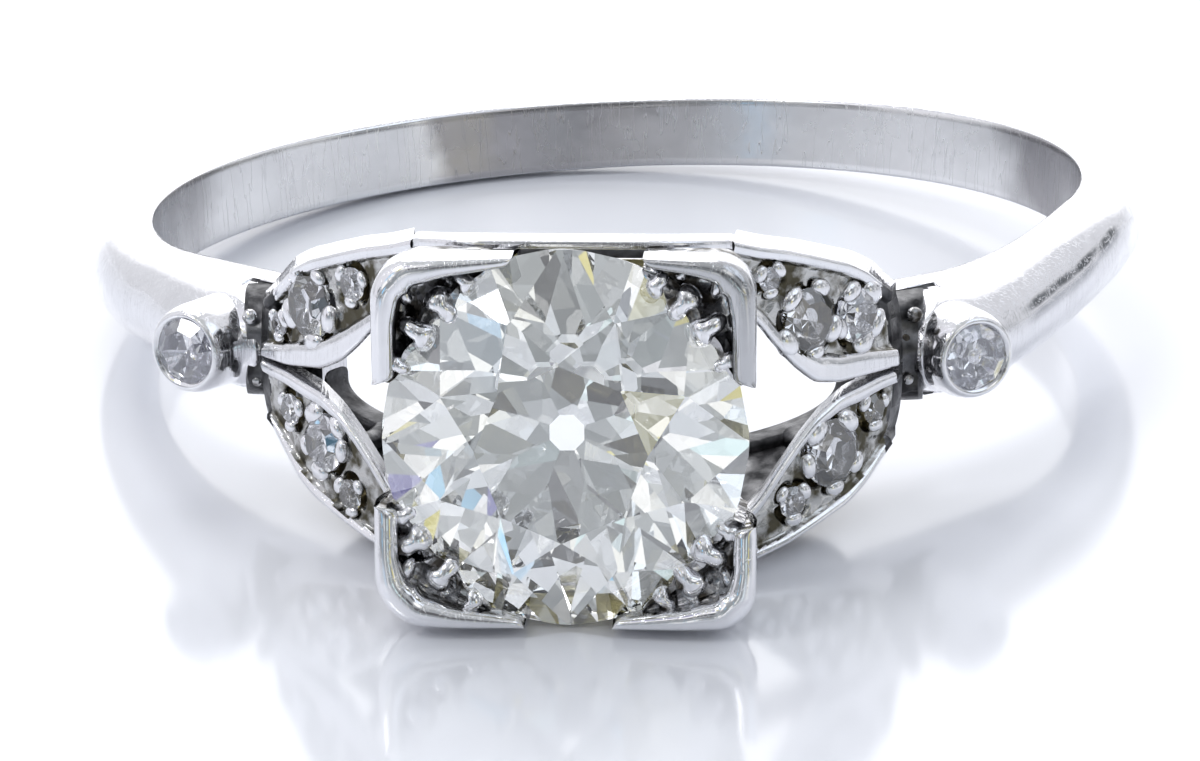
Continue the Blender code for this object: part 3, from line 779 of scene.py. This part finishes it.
def ragged_edge(v, side, level):
    """How far the dark metal, painted shade, reaches in from a leaf's tip."""
    spread = 0.40 if level > 0 else 0.10
    return 0.10 + spread * float(ease(v, 0.35, 1.5)) + 0.08 * math.sin(9 * v + 2 * side + level)


def leaf_mark(height, at_tip):
    """Which leaf material a patch of the top shows: 0 rim, 1 field, 2 recess in painted shade, 3 tip in
    painted shade.
    """
    if at_tip:
        return 3
    if height < -LEAF_FIELD - 0.07:
        return 2
    return 1 if height < -LEAF_FIELD * 0.5 else 0


LEAF_SHADES = (RIM_METAL, FIELD_METAL, OLIVE_METAL, DARK_METAL, WALL_METAL)
for (side_name, level_name), stones in LEAVES.items():
    side, level = SIDES[side_name], LEVELS[level_name]
    leaf_name, leaf_tip = f"{side_name}_{level_name}", LEAF_TIPS[side]
    node = leaf_name + "_leaf"
    leaf_xs = np.linspace(LEAF_START, leaf_tip, 131)
    leaf_outer = rounded(LEAF_OUTER, leaf_xs)
    leaf_inner = rounded(tuple(zip(LEAF_INNER_XS, LEAF_INNERS[leaf_name])), leaf_xs)
    leaf_arc = np.concatenate([[0], np.cumsum(np.hypot(np.diff(leaf_xs), np.diff(leaf_top(leaf_xs))))])
    heights, across = leaf_heights(leaf_xs, leaf_arc, leaf_outer, leaf_inner, level, stones)
    vertices, faces, marks = [], [], []
    for i, x in enumerate(leaf_xs):
        tilt = leaf_angle(x)
        for j in range(ACROSS):
            h, v = heights[i, j], across[i, j]
            out = x - tip_corner(x, v, leaf_tip) + h * math.sin(tilt)
            vertices.append(place(side * out, level * v, leaf_top(x) + h * math.cos(tilt)))
    for i, x in enumerate(leaf_xs):
        under = leaf_top(x) - float(lookup(LEAF_DEPTHS, x))
        for v in across[i]:
            vertices.append(place(side * (x - tip_corner(x, v, leaf_tip)), level * v, under))
    rows, base = len(leaf_xs), len(leaf_xs) * ACROSS
    for i in range(rows - 1):
        for j in range(ACROSS - 1):
            a = i * ACROSS + j
            faces.append((a, a + 1, a + ACROSS + 1, a + ACROSS))
            at_tip = leaf_arc[-1] - leaf_arc[i] < ragged_edge(across[i, j], side, level)
            marks.append(leaf_mark(heights[i : i + 2, j : j + 2].mean(), at_tip))
            faces.append((base + a, base + a + ACROSS, base + a + ACROSS + 1, base + a + 1))
            marks.append(0)
        # the inner side wall takes the darker wall metal as painted shade, the outer one the rim metal
        for j in (0, ACROSS - 1):
            a = i * ACROSS + j
            faces.append((a, a + ACROSS, base + a + ACROSS, base + a))
            marks.append(4 if j == 0 else 0)
    # both ends of the leaf take the dark metal as painted shade
    for i in (0, rows - 1):
        for j in range(ACROSS - 1):
            a = i * ACROSS + j
            faces.append((a, a + 1, base + a + 1, base + a))
            marks.append(3)
    add_piece(node + "_rimmed", vertices, faces, LEAF_SHADES, "polished_metal", (node,), 50, marks)
    beads = []
    for stone_name, x, v, radius in stones:
        tilt = float(leaf_angle(x))
        up = direction(side * math.sin(tilt), 0, math.cos(tilt))
        ground = place(side * x, level * v, leaf_top(x))
        spot = frame_at(ground, up, direction(0, 1, 0))
        count = 5 if radius > BIG_STONE_R else 3
        for k in range(count):
            spin = 2 * math.pi * (k + 0.5) / count + chance.uniform(-0.25, 0.25)
            size = chance.uniform(0.17, 0.27) if radius > BIG_STONE_R else chance.uniform(0.12, 0.17)
            reach = radius + 0.015
            stretch = chance.uniform(0.75, 0.9)
            grain, grain_faces = ball(Vector(), size, UP, 0.62, 9, 18)
            middle = Vector((reach * math.cos(spin), reach * math.sin(spin), -LEAF_FIELD + 0.02)) * MM
            turn = Matrix.Rotation(spin, 3, "Z") @ Matrix.Diagonal((stretch, 1.15, 1.0))
            beads.append(([spot @ (middle + turn @ p) for p in grain], grain_faces))
        nest = spot @ Matrix.Rotation(chance.uniform(0, 1), 4, "Z") @ sunk(LEAF_STONE_DROP)
        small_diamond(f"{leaf_name}_{stone_name}_diamond", radius, nest)
    add_piece(node + "_beads", *gather(beads), (CLAW_METAL,), "polished_metal")

# ---- the dark metal under each pair of leaf tips, painted shade in the groove, with its small beads ----
for side_name, side in SIDES.items():
    near, far = (LEAF_TIPS[side] + reach for reach in GROOVE_REACH)
    rings = []
    for step in range(61):
        v = -1.0 + 2.0 * step / 60
        end = math.sqrt(max(0.02, 1 - abs(v) ** 3))
        outline = [(near, GROOVE_FLOOR), (near, GROOVE_FLOOR + GROOVE_SIDE * end)]
        for k in range(1, 10):
            share = k / 10
            rough = 0.10 * facets(3 + share * 1.2, v, 3.0) + 0.07 * math.sin(8 * v + side)
            top = GROOVE_FLOOR + (GROOVE_TOP - 0.30 * share + rough) * end
            outline.append((near + (far - near) * share, top))
        outline += [(far, GROOVE_FLOOR + 0.55 * end), (far, 7.55), ((near + far) / 2, 7.4)]
        rings.append([place(side * x, v * (0.96 + 0.1 * end), u) for x, u in outline])
    add_piece(side_name + "_groove_metal", *skin(rings), (DARK_METAL,), "shaded_metal", (), 30)
    beads = []
    for v, x, size in GROOVE_BEADS:
        spot = place(side * (LEAF_TIPS[side] + x), v + 0.06 * side, GROOVE_BEAD_U)
        beads.append(ball(spot, size, direction(0.3 * side, 0, 1), 0.7))
    add_piece(side_name + "_groove_beads", *gather(beads), (CUT_METAL,), "shaded_metal")

# ---- corner claws ----


def claw_path(arm_x, arm_v, corner):
    """Stations (x, v, outward x, outward v) along the claw's outer face, from arm end to arm end."""
    half = HEAD_HALF
    stations = []
    for k in range(25):
        x = arm_x + (half - corner - arm_x) * k / 24
        stations.append((x, half, 0.0, 1.0))
    for k in range(1, 13):
        swing = math.pi / 2 * (1 - k / 13)
        c, s = math.cos(swing), math.sin(swing)
        stations.append((half - corner + corner * c, half - corner + corner * s, c, s))
    for k in range(25):
        v = half - corner + (arm_v - half + corner) * k / 24
        stations.append((half, v, 1.0, 0.0))
    return stations


def claw_section(thick, top):
    """(inward offset, u) round the wall: up its outer face, over the rounded top and down its inner face."""
    outline = [(HEAD_HALF - half, u) for u, half in CLAW_BULGE]
    soft = thick * 0.5
    for k in range(13):
        swing = math.pi * k / 12
        outline.append((soft - soft * math.cos(swing), top - soft + soft * math.sin(swing)))
    outline += [(thick, 14.2), (thick + 0.10, 13.5), (thick + 0.30, CLAW_BOTTOM)]
    return outline


for claw_name, (side, level, arm_x, arm_v, corner) in CLAWS.items():
    node = claw_name + "_claw"
    stations = claw_path(arm_x, arm_v, corner)
    count = len(stations)
    rings = []
    for k, (x, v, nx, nv) in enumerate(stations):
        on_x_arm = k < count / 2
        from_end = abs(x - arm_x) if on_x_arm else abs(v - arm_v)
        share = min(1.0, from_end / 1.5)
        from_corner = abs(k - (count - 1) / 2) / ((count - 1) / 2)
        thick = (0.15 if on_x_arm else 0.38) * (1 - share) + 0.40 * share
        thick += 0.20 * max(0.0, 1 - from_corner / 0.45) ** 1.3
        top = CLAW_TOP - 0.16 * (1 - share) ** 1.5
        cap = min(1.0, from_end / 0.16)
        close = math.sqrt(max(0.02, 1 - (1 - cap) ** 2))
        ring = []
        for inward, u in claw_section(thick * close, top - 0.05 * (1 - close)):
            px, pv, pu = off_the_stone(x - nx * inward, v - nv * inward, u)
            ring.append(place(side * px, level * pv, pu))
        rings.append(ring)
    vertices, faces = skin(rings)
    per_ring, inner_from = len(rings[0]), len(CLAW_BULGE) + (10 if level > 0 else 12)
    marks = [1 if len(f) == 4 and min(i % per_ring for i in f) >= inner_from else 0 for f in faces]
    # the upper right claw takes the darker claw metal and the upper claws' inner faces the dark metal, both
    # painted shade; the lower claws' inner faces take the bright-cut metal
    shades = (SHADED_CLAW_METAL if side + level == 2 else CLAW_METAL, DARK_METAL if level > 0 else CUT_METAL)
    add_piece(node + "_wall", vertices, faces, shades, "polished_metal", (node,), 60, marks)
    # the bright-cut metal inside the corner, pushed over the stone's edge
    fine = [stations[0]]
    for one, two in zip(stations, stations[1:]):
        fine += [tuple(a + (b - a) * k / 3 for a, b in zip(one, two)) for k in (1, 2, 3)]
    edge = [(x - nx * 0.2, v - nv * 0.2) for x, v, nx, nv in fine]
    edge = [at for at in edge if stone_share(*at) > 1.012]
    rings, crest = [], []
    for k, (ox, ov) in enumerate(edge):
        share = k / (len(edge) - 1)
        swell = math.sin(math.pi * share) ** 0.6
        grip = 1.004 - (0.082 + 0.02 * math.sin(21 * share + arm_x)) * swell
        scale = grip / stone_share(ox, ov)
        ix, iv = ox * scale, ov * scale
        top_row, low_row = [], []
        crossing = (stone_share(ox, ov) - 1.006) / (stone_share(ox, ov) - grip)
        for j in range(BRIGHT_CUT_STEPS + 1):
            t = j / BRIGHT_CUT_STEPS
            x, v = ox + (ix - ox) * t, ov + (iv - ov) * t
            u = BRIGHT_CUT_U - 0.30 * math.sin(math.pi * min(1.0, t * 1.25)) * swell
            u += 0.30 * facets(side * x, level * v, 1.9) * swell
            if stone_share(x, v) < 1.03:
                u = max(u, crown_u(x, v) + 0.02 + 0.10 * (1 - t) + 0.03 * swell)
            top_row.append((x, v, u))
        # back along the stone to its girdle, then down beside it; where u is None it follows the crown
        below = [(1.0, None), (0.5 + crossing / 2, None)]
        below += [(crossing, u) for u in (*BRIGHT_CUT_EDGES, BRIGHT_CUT_BOTTOM)]
        for t, u in (*below, (0.0, BRIGHT_CUT_BOTTOM)):
            x, v = ox + (ix - ox) * t, ov + (iv - ov) * t
            low_row.append((x, v, crown_u(x, v) if u is None else u))
        rings.append([place(side * x, level * v, u) for x, v, u in top_row + low_row])
        crest.append(top_row)
    add_piece(node + "_bright_cut", *skin(rings), (CUT_METAL,), "polished_metal", (), 18)
    beads = []
    for share, t, size in CLAW_GRAINS:
        x, v, u = crest[int(share * (len(crest) - 1))][int(t * BRIGHT_CUT_STEPS)]
        x, v = x + chance.uniform(-0.05, 0.05), v + chance.uniform(-0.05, 0.05)
        grain, grain_faces = ball(Vector(), size, UP, 0.9, 11, 22)
        way = math.atan2(v, x)
        shaped = []
        for p in grain:
            around = math.atan2(p.y, p.x)
            swell = 1 + 0.24 * math.cos(2 * (around - way)) + 0.16 * math.sin(3 * around + 40 * share)
            gx, gv, gu = x + p.x / MM * swell, v + p.y / MM * swell, u + 0.03 + p.z / MM
            if stone_share(gx, gv) < 1.02:
                gu = max(gu, crown_u(gx, gv))
            shaped.append(place(side * gx, level * gv, gu))
        beads.append((shaped, grain_faces))
    add_piece(node + "_grains", *gather(beads), (CLAW_METAL,), "polished_metal")

# ---- seat frame, straps, rails and posts ----


def square_at(half, u):
    return [place(half * a, half * b, u) for a, b in ((1, 1), (-1, 1), (-1, -1), (1, -1))]


frame_corners = (
    square_at(SEAT_HALF - SEAT_TAPER, SEAT_BOTTOM)
    + square_at(SEAT_HALF, SEAT_TOP)
    + square_at(SEAT_HOLE, SEAT_TOP)
    + square_at(SEAT_HOLE - SEAT_TAPER, SEAT_BOTTOM)
)
walls, marks = [], []
for k in range(4):
    n = (k + 1) % 4
    for step in range(4):
        a, b = 4 * step, 4 * ((step + 1) % 4)
        walls.append((a + k, a + n, b + n, b + k))
        marks.append(int(step in (1, 2)))
# the outer wall and bottom take the darker wall metal, the top and hole wall the warm seat metal: both
# painted shade round the seat
shades = (WALL_METAL, SEAT_METAL)
seat_frame = add_piece(
    "head_seat_frame_soft", frame_corners, walls, shades, "polished_metal", ("head_seat_frame",), 30, marks
)
soften = seat_frame.modifiers.new("soft_edges", "BEVEL")
soften.width, soften.segments = 0.10 * MM, 4


def soft_box(sides, half_a, half_b, power_a, power_b):
    """A rounded rectangle as pairs: the smaller a power, the squarer its corners."""
    for k in range(sides):
        c, s = math.cos(2 * math.pi * k / sides), math.sin(2 * math.pi * k / sides)
        yield half_a * math.copysign(abs(c) ** power_a, c), half_b * math.copysign(abs(s) ** power_b, s)


def strap_ring(x, level):
    if abs(x) <= STRAP_END:
        share = (abs(x) / STRAP_END) ** 4
        v, u = STRAP_V - STRAP_V_DROP * share, STRAP_U - STRAP_U_DROP * share
    else:
        v, u = float(lookup(LEAF_OUTER, abs(x))) - 0.02, leaf_top(abs(x)) - 0.04
    taper = 0.15 + 0.85 * float(ease(STRAP_END + STRAP_TAIL - abs(x), 0.0, 0.45))
    ring = []
    for across, along in soft_box(24, STRAP_THICK / 2 * taper, STRAP_HEIGHT / 2 * taper, 0.5, 0.4):
        ring.append(place(x, level * (v - STRAP_THICK / 2 + across), u - STRAP_HEIGHT / 2 + along))
    return ring


def rail_middle(turn):
    return RAIL_V + RAIL_V_RISE * max(0.0, math.cos(math.pi / 2 * turn / RAIL_END)) ** 0.35


def rail_ring(turn, level):
    angle = math.radians(turn)
    middle = rail_middle(turn)
    ring = []
    for rise, across in soft_box(28, (RAIL_R - FINGER_R) / 2, RAIL_HALF_WIDTH, 0.45, 0.6):
        radius = (FINGER_R + RAIL_R) / 2 + rise
        ring.append(place(radius * math.sin(angle), level * (middle + across), radius * math.cos(angle)))
    return ring


def post_piece(node, foot_turn, side, level, x, v, u):
    angle = math.radians(foot_turn)
    middle = rail_middle(foot_turn)
    foot = Vector((side * RAIL_R * math.sin(angle), level * middle, RAIL_R * math.cos(angle)))
    head = Vector((side * x, level * v, u))
    way = (head - foot).normalized()
    one = way.cross(Vector((0, 1, 0))).normalized()
    two = way.cross(one)
    rings = []
    for k in range(17):
        share = k / 16
        radius = POST_R * (0.78 + 0.5 * abs(2 * share - 1) ** 3)
        middle_point = foot.lerp(head, -0.03 + 1.08 * share)
        ring = []
        for j in range(20):
            spin = 2 * math.pi * j / 20
            p = middle_point + (one * math.cos(spin) + two * math.sin(spin)) * radius
            ring.append(place(p.x, p.y, p.z))
        rings.append(ring)
    add_piece(node + "_round", *skin(rings), (GALLERY_METAL,), "shaded_metal", (node,), 50)


for level_name, level in LEVELS.items():
    strap_xs = np.linspace(-STRAP_END - STRAP_TAIL, STRAP_END + STRAP_TAIL, 81)
    strap = skin([strap_ring(x, level) for x in strap_xs])
    node = level_name + "_gallery_strap"
    add_piece(node + "_rounded", *strap, (RIM_METAL,), "polished_metal", (node,), 50)
    rail_turns = RAIL_END * np.sin(np.linspace(-math.pi / 2, math.pi / 2, 61))
    rail = skin([rail_ring(t, level) for t in rail_turns])
    node = level_name + "_base_rail"
    add_piece(node + "_rounded", *rail, (GALLERY_METAL,), "shaded_metal", (node,), 50)
    for side_name, side in SIDES.items():
        tag = f"{side_name}_{level_name}"
        post_piece(tag + "_head_post", HEAD_POST_TURN, side, level, HEAD_POST_X, HEAD_POST_V, SEAT_BOTTOM)
        under = leaf_top(LEAF_POST_X) - float(lookup(LEAF_DEPTHS, LEAF_POST_X))
        post_piece(tag + "_leaf_post", LEAF_POST_TURN, side, level, LEAF_POST_X, LEAF_POST_V, under)

# ---- the dark web between each lower leaf and the rail under it, a sheet of painted shade ----
for side_name, side in SIDES.items():
    rings = []
    for x in np.linspace(2.5, 5.0, 26):
        turn = math.degrees(math.asin(min(0.49, x / RAIL_R)))
        foot_v, foot_u = rail_middle(turn) + 0.08, RAIL_R * math.cos(math.radians(turn)) - 0.15
        head_v = float(lookup(LEAF_OUTER, max(x, LEAF_START))) - 0.35
        head_u = leaf_top(x) - 0.75
        ring = []
        for t, away in WEB_OUTSIDE + WEB_INSIDE:
            v = foot_v + (head_v - foot_v) * t + away
            ring.append(place(side * x, -v, foot_u + (head_u - foot_u) * t))
        rings.append(ring)
    add_piece(side_name + "_lower_web", *skin(rings), (DARK_METAL,), "shaded_metal", (), 50)

# ---- table ----
table_shader = Shader("pale_glossy_table", (0.87, 0.885, 0.93), 0.10, 0.0)
table_shader.feed(table_shader.remap(table_shader.noise(0.06, 4.0), 0.3, 0.7, 0.08, 0.13), "Roughness")
table_shader.bsdf.inputs["IOR"].default_value = 1.8
TABLE_HALF = 0.8
corners = [(TABLE_HALF * a, TABLE_HALF * b, 0) for a, b in ((-1, -1), (1, -1), (1, 1), (-1, 1))]
mesh = bpy.data.meshes.new("table")
mesh.from_pydata(corners, [], [(0, 1, 2, 3)])
mesh.materials.append(table_shader.material)
add_object("table", mesh)

# ---- light: a white tent with a darker gap round the camera and a few soft grey and tinted panels ----
world = bpy.data.worlds.new("studio_tent")
bpy.context.scene.world = world
world.use_nodes = True
sky = Nodes(world.node_tree)
sky.tree.nodes.clear()
where = sky.add("ShaderNodeTexCoord")
output = sky.add("ShaderNodeOutputWorld")


def span(value, low, high):
    node = sky.add("ShaderNodeMapRange", interpolation_type="SMOOTHSTEP")
    sky.link(value, node.inputs["Value"])
    node.inputs["From Min"].default_value, node.inputs["From Max"].default_value = low, high
    return node.outputs["Result"]


def toward(azimuth, elevation):
    """A direction on the dome: azimuth 0 is the camera's side, 90 is the right."""
    a, e = math.radians(azimuth), math.radians(elevation)
    return (math.sin(a) * math.cos(e), -math.cos(a) * math.cos(e), math.sin(e))


def cone(way, inner, outer):
    """1 inside the inner angle round a direction, falling smoothly to 0 at the outer angle."""
    dot = sky.add("ShaderNodeVectorMath", operation="DOT_PRODUCT")
    sky.link(where.outputs["Generated"], dot.inputs[0])
    dot.inputs[1].default_value = way
    return span(dot.outputs["Value"], math.cos(math.radians(outer)), math.cos(math.radians(inner)))


split = sky.add("ShaderNodeSeparateXYZ")
sky.link(where.outputs["Generated"], split.inputs["Vector"])
tent = sky.tint(span(split.outputs["Z"], -0.1, 0.75), (0.30, 0.32, 0.34), (0.42, 0.44, 0.46))
# azimuth and elevation, inner and outer angle, colour: a later panel lies over the earlier ones
PANELS = (
    ((180, 30), 60, 85, (0.80, 0.81, 0.85)),
    ((180, 22), 24, 36, (1.9, 1.91, 1.95)),
    ((-82, 30), 26, 40, (0.88, 0.88, 0.94)),
    ((78, 50), 16, 24, (1.15, 1.25, 1.4)),
    ((88, 8), 5, 12, (0.85, 0.86, 0.88)),
    ((0, 78), 16, 24, (0.62, 0.64, 0.66)),
    ((-30, 50), 10, 14, (1.1, 1.1, 1.12)),
    ((34, 40), 9, 13, (1.2, 1.2, 1.2)),
    ((48, 12), 6, 10, (1.1, 1.1, 1.08)),
    ((-44, 20), 6, 10, (1.15, 1.15, 1.15)),
    ((4, 21), 8, 13, (0.14, 0.14, 0.15)),
    ((25, 16), 4, 8, (0.09, 0.09, 0.10)),
    ((-14, 36), 4, 8, (0.10, 0.10, 0.11)),
    ((60, 30), 4, 9, (0.10, 0.10, 0.11)),
    ((-62, 10), 4, 9, (0.10, 0.10, 0.11)),
    ((124, 8), 3, 8, (0.12, 0.13, 0.14)),
    ((136, 3), 3, 7, (0.14, 0.15, 0.16)),
    ((18, 5), 3, 6, (0.82, 1.0, 1.04)),
    ((-31, 7), 3, 5, (0.42, 0.80, 1.15)),
    ((-54, 30), 3, 6, (0.50, 0.82, 1.1)),
    ((-48, 43), 4, 7, (0.86, 0.80, 0.36)),
    ((42, 5), 3, 6, (0.80, 0.72, 0.26)),
    ((-10, 5), 3, 6, (1.0, 1.02, 1.02)),
    ((-36, 55), 3, 6, (0.30, 0.29, 0.54)),
)
for (azimuth, elevation), inner_deg, outer_deg, color in PANELS:
    tent = sky.tint(cone(toward(azimuth, elevation), inner_deg, outer_deg), tent, color)
backdrop = sky.tint(sky.add("ShaderNodeLightPath").outputs["Is Camera Ray"], tent, (1.0, 1.0, 1.0))
light = sky.add("ShaderNodeBackground")
sky.link(backdrop, light.inputs["Color"])
sky.link(light.outputs["Background"], output.inputs["Surface"])


def softbox(name, azimuth, elevation, distance, width, height, power, color):
    data = bpy.data.lights.new(name, "AREA")
    data.shape, data.size, data.size_y = "RECTANGLE", width, height
    data.energy, data.color = power, color
    lamp = add_object(name, data)
    lamp.location = Vector(toward(azimuth, elevation)) * distance
    lamp.rotation_euler = lamp.location.to_track_quat("Z", "Y").to_euler()


softbox("overhead_softbox", -160, 60, 0.35, 0.16, 0.16, 0.27, (1.0, 1.0, 1.0))
softbox("left_softbox", -62, 48, 0.30, 0.07, 0.07, 0.10, (0.97, 0.98, 1.0))

# ---- camera, fitted to the photograph: where it stands in mm, and its right and up ----
CAMERA_AT = (7.201, -109.909, 42.314)
CAMERA_RIGHT, CAMERA_UP = Vector((0.99802, 0.06110, -0.01514)), Vector((-0.00784, 0.35922, 0.93322))
camera_data = bpy.data.cameras.new("camera")
camera_data.lens, camera_data.sensor_width = 191.25, 36.0
camera_data.clip_start, camera_data.clip_end = 0.005, 10.0
camera = add_object("camera", camera_data)
back = CAMERA_RIGHT.cross(CAMERA_UP).normalized()
up = back.cross(CAMERA_RIGHT).normalized()
turn = Matrix((CAMERA_RIGHT.normalized(), up, back)).transposed().to_4x4()
camera.matrix_world = Matrix.Translation(Vector(CAMERA_AT) * MM) @ turn
scene = bpy.context.scene
scene.camera = camera
scene.view_settings.view_transform = "Standard"
scene.view_settings.exposure = 0.0
scene.cycles.max_bounces = 24
scene.cycles.glossy_bounces = 20
scene.cycles.transmission_bounces = 20
